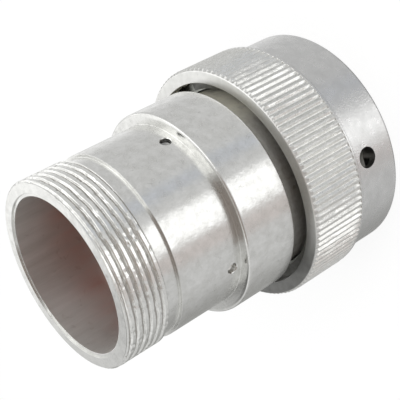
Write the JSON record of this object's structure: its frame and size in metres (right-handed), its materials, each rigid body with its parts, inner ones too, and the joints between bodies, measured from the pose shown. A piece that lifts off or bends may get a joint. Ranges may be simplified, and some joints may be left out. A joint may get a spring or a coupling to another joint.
{
  "type": "circular connector socket",
  "caption": "Round metal plug shell with a turning knurled bayonet ring, an insert of socket contacts and a threaded cable end.",
  "frame": {"origin": "centre of the coupling ring's front face, which it stands on", "axes": "+Z along the connector's axis, from the mating face to the cable end; +X near the first sight hole"},
  "size_m": [0.0474, 0.0474, 0.0615],
  "materials": {
    "ring_aluminium": "knurled and satin blasted, clear",
    "shell_aluminium": "turned, clear",
    "spring_steel": "punched spring steel",
    "black_seal": "moulded",
    "red_silicone": "moulded silicone",
    "dielectric": "moulded",
    "disc_plastic": "moulded",
    "gold_plate": "gold plated"
  },
  "bodies": {
    "shell": {"plug_barrel": "shell_aluminium", "rear_adapter": "shell_aluminium", "wave_spring": "spring_steel", "insert_lock_ring": "spring_steel", "shell_seal": "black_seal", "adapter_seal": "black_seal", "interface_seal": "red_silicone", "rear_grommet": "red_silicone", "front_insert": "dielectric", "rear_insert": "dielectric", "retention_disc": "disc_plastic", "grommet_ferrule": "disc_plastic", "socket_contact_1": "gold_plate", "socket_contact_2": "gold_plate", "socket_contact_3": "gold_plate", "socket_contact_4": "gold_plate", "socket_contact_5": "gold_plate", "socket_contact_6": "gold_plate", "socket_contact_7": "gold_plate", "socket_contact_8": "gold_plate", "socket_contact_9": "gold_plate", "socket_contact_10": "gold_plate", "socket_contact_11": "gold_plate", "socket_contact_12": "gold_plate", "socket_contact_13": "gold_plate", "socket_contact_14": "gold_plate", "socket_contact_15": "gold_plate", "socket_contact_16": "gold_plate", "socket_contact_17": "gold_plate", "socket_contact_18": "gold_plate", "socket_contact_19": "gold_plate"},
    "thrust_washer": {"thrust_washer": "spring_steel"},
    "coupling_ring": {"coupling_ring": "ring_aluminium", "snap_ring": "spring_steel"}
  },
  "joints": [
    {"name": "coupling_float", "type": "slide", "parent": "shell", "child": "thrust_washer", "axis": [0, 0, -1], "range_m": [0, 0.0009], "stiffness_N_per_m": 4000, "springref_m": -0.0005, "deforming": ["wave_spring"]},
    {"name": "coupling_turn", "type": "hinge", "parent": "thrust_washer", "child": "coupling_ring", "pos_m": [0, 0, 0], "axis": [0, 0, 1], "continuous": true}
  ]
}
